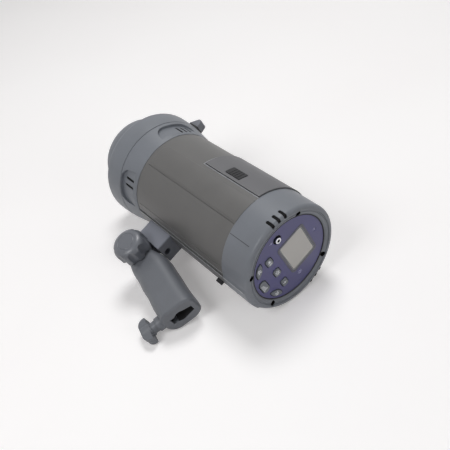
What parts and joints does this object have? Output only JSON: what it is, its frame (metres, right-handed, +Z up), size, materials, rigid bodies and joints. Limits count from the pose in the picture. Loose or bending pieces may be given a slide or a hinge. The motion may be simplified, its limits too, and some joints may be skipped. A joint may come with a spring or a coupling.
{
  "type": "monolight strobe",
  "caption": "Battery studio strobe lying on its side: round body, control panel, clip-in battery, bayonet socket, and a tilting handle that clamps a stand.",
  "frame": {"origin": "on the optical axis at the mouth of the front mount collar", "axes": "+X forward along the optical axis, +Z up as the strobe lies on its side, with its handle folded back and its top turned 67.6 degrees from +Z towards -Y"},
  "size_m": [0.2925, 0.2332, 0.1388],
  "materials": {
    "front_housing": "fine satin texture",
    "mount_collar": "fine satin texture",
    "bayonet_ring": "brushed",
    "reflector_pan": "bright satin",
    "tube_socket": "white ceramic look",
    "flash_tube": "frosted glass",
    "modelling_lamp": "LED emitter",
    "glass_dome": "clear",
    "chassis": "plain",
    "mid_shell": "fine satin texture",
    "bottom_rail": "fine satin texture",
    "switch_base": "black",
    "rear_housing": "fine satin texture",
    "rear_screws": "blackened",
    "panel_plate": "satin blue film",
    "lcd_module": "dark frame",
    "lcd_window": "grey display",
    "sync_jack": "bright",
    "jack_cup": "black",
    "optical_sensor": "clear lens",
    "panel_board": "board",
    "battery_well": "black",
    "battery_contacts": "plated",
    "heat_sink": "plain",
    "fan_frame": "black",
    "main_board": "board",
    "charge_transformer": "taped winding",
    "capacitors": "sleeved can",
    "bracket_block": "satin",
    "bracket_screws": "plain",
    "friction_discs": "fibre",
    "handle_grip": "satin",
    "pivot_bolt": "plain",
    "clamp_insert": "plain",
    "knob_washer": "plain",
    "tilt_knob": "satin",
    "knob_insert": "plain",
    "clamp_pad": "black",
    "clamp_screw": "plain",
    "wing_head": "satin",
    "release_lever": "fine satin texture",
    "lever_shoe": "black",
    "lock_pin": "plain",
    "battery_case": "fine satin texture",
    "battery_cells": "wrapped cells",
    "battery_terminals": "plated",
    "battery_latch_left": "ribbed dark grey",
    "battery_latch_right": "ribbed dark grey",
    "power_slider": "grey",
    "fan_rotor": "black",
    "button_left": "satin grey",
    "button_centre": "satin grey",
    "button_right": "satin grey",
    "button_side_left": "satin grey",
    "button_side_right": "satin grey",
    "button_main": "satin grey"
  },
  "bodies": {
    "housing": {"front_housing": "front_housing", "mount_collar": "mount_collar", "bayonet_ring": "bayonet_ring", "reflector_pan": "reflector_pan", "tube_socket": "tube_socket", "flash_tube": "flash_tube", "modelling_lamp": "modelling_lamp", "glass_dome": "glass_dome", "chassis": "chassis", "mid_shell": "mid_shell", "bottom_rail": "bottom_rail", "switch_base": "switch_base", "rear_housing": "rear_housing", "rear_screws": "rear_screws", "panel_plate": "panel_plate", "lcd_module": "lcd_module", "lcd_window": "lcd_window", "sync_jack": "sync_jack", "jack_cup": "jack_cup", "optical_sensor": "optical_sensor", "panel_board": "panel_board", "battery_well": "battery_well", "battery_contacts": "battery_contacts", "heat_sink": "heat_sink", "fan_frame": "fan_frame", "main_board": "main_board", "charge_transformer": "charge_transformer", "capacitors": "capacitors", "bracket_block": "bracket_block", "bracket_screws": "bracket_screws", "friction_discs": "friction_discs"},
    "handle": {"handle_grip": "handle_grip", "pivot_bolt": "pivot_bolt", "clamp_insert": "clamp_insert"},
    "knob_washer": {"knob_washer": "knob_washer"},
    "tilt_knob": {"tilt_knob": "tilt_knob", "knob_insert": "knob_insert"},
    "clamp_pad": {"clamp_pad": "clamp_pad"},
    "clamp_screw": {"clamp_screw": "clamp_screw", "wing_head": "wing_head"},
    "release_lever": {"release_lever": "release_lever", "lever_shoe": "lever_shoe", "lock_pin": "lock_pin"},
    "battery": {"battery_case": "battery_case", "battery_cells": "battery_cells", "battery_terminals": "battery_terminals"},
    "battery_latch_left": {"battery_latch_left": "battery_latch_left"},
    "battery_latch_right": {"battery_latch_right": "battery_latch_right"},
    "power_slider": {"power_slider": "power_slider"},
    "fan_rotor": {"fan_rotor": "fan_rotor"},
    "button_left": {"button_left": "button_left"},
    "button_centre": {"button_centre": "button_centre"},
    "button_right": {"button_right": "button_right"},
    "button_side_left": {"button_side_left": "button_side_left"},
    "button_side_right": {"button_side_right": "button_side_right"},
    "button_main": {"button_main": "button_main"}
  },
  "joints": [
    {"name": "handle_tilt", "type": "hinge", "parent": "housing", "child": "handle", "pos_m": [-0.134, 0.09282, -0.03826], "axis": [0, 0.3811, 0.9245], "range_deg": [-120, 0]},
    {"name": "knob_travel", "type": "slide", "parent": "handle", "child": "knob_washer", "axis": [0, 0.3811, 0.9245], "range_m": [0, 0.0012]},
    {"name": "knob_turn", "type": "hinge", "parent": "knob_washer", "child": "tilt_knob", "pos_m": [-0.134, 0.10426, -0.01052], "axis": [0, 0.3811, 0.9245], "range_deg": [0, 346]},
    {"name": "clamp_travel", "type": "slide", "parent": "handle", "child": "clamp_pad", "axis": [-0.2656, -0.8914, 0.3674], "range_m": [0, 0.004]},
    {"name": "clamp_turn", "type": "hinge", "parent": "clamp_pad", "child": "clamp_screw", "pos_m": [-0.21473, 0.14215, -0.05859], "axis": [-0.2656, -0.8914, 0.3674], "range_deg": [0, 1153]},
    {"name": "lever_slide", "type": "slide", "parent": "housing", "child": "release_lever", "axis": [-1, 0, 0], "range_m": [0, 0.006], "stiffness_N_per_m": 500},
    {"name": "battery_lift", "type": "slide", "parent": "housing", "child": "battery", "axis": [0, -0.9245, 0.3811], "range_m": [0, 0.045]},
    {"name": "latch_left_press", "type": "slide", "parent": "battery", "child": "battery_latch_left", "axis": [0, 0.1323, -0.9912], "range_m": [0, 0.0015], "stiffness_N_per_m": 800},
    {"name": "latch_right_press", "type": "slide", "parent": "battery", "child": "battery_latch_right", "axis": [0, 0.7923, 0.6101], "range_m": [0, 0.0015], "stiffness_N_per_m": 800},
    {"name": "power_slide", "type": "slide", "parent": "housing", "child": "power_slider", "axis": [1, 0, 0], "range_m": [0, 0.006]},
    {"name": "fan_spin", "type": "hinge", "parent": "housing", "child": "fan_rotor", "pos_m": [-0.098, 0, 0], "axis": [-1, 0, 0], "continuous": true},
    {"name": "button_left_press", "type": "slide", "parent": "housing", "child": "button_left", "axis": [1, 0, 0], "range_m": [0, 0.0008], "stiffness_N_per_m": 1500},
    {"name": "button_centre_press", "type": "slide", "parent": "housing", "child": "button_centre", "axis": [1, 0, 0], "range_m": [0, 0.0008], "stiffness_N_per_m": 1500},
    {"name": "button_right_press", "type": "slide", "parent": "housing", "child": "button_right", "axis": [1, 0, 0], "range_m": [0, 0.0008], "stiffness_N_per_m": 1500},
    {"name": "button_side_left_press", "type": "slide", "parent": "housing", "child": "button_side_left", "axis": [1, 0, 0], "range_m": [0, 0.0008], "stiffness_N_per_m": 1500},
    {"name": "button_side_right_press", "type": "slide", "parent": "housing", "child": "button_side_right", "axis": [1, 0, 0], "range_m": [0, 0.0008], "stiffness_N_per_m": 1500},
    {"name": "button_main_press", "type": "slide", "parent": "housing", "child": "button_main", "axis": [1, 0, 0], "range_m": [0, 0.0008], "stiffness_N_per_m": 1500}
  ],
  "couplings": [
    {"joint": "knob_turn", "follows": "knob_travel", "rad_per_m": 5026.5},
    {"joint": "clamp_turn", "follows": "clamp_travel", "rad_per_m": 5026.5}
  ]
}
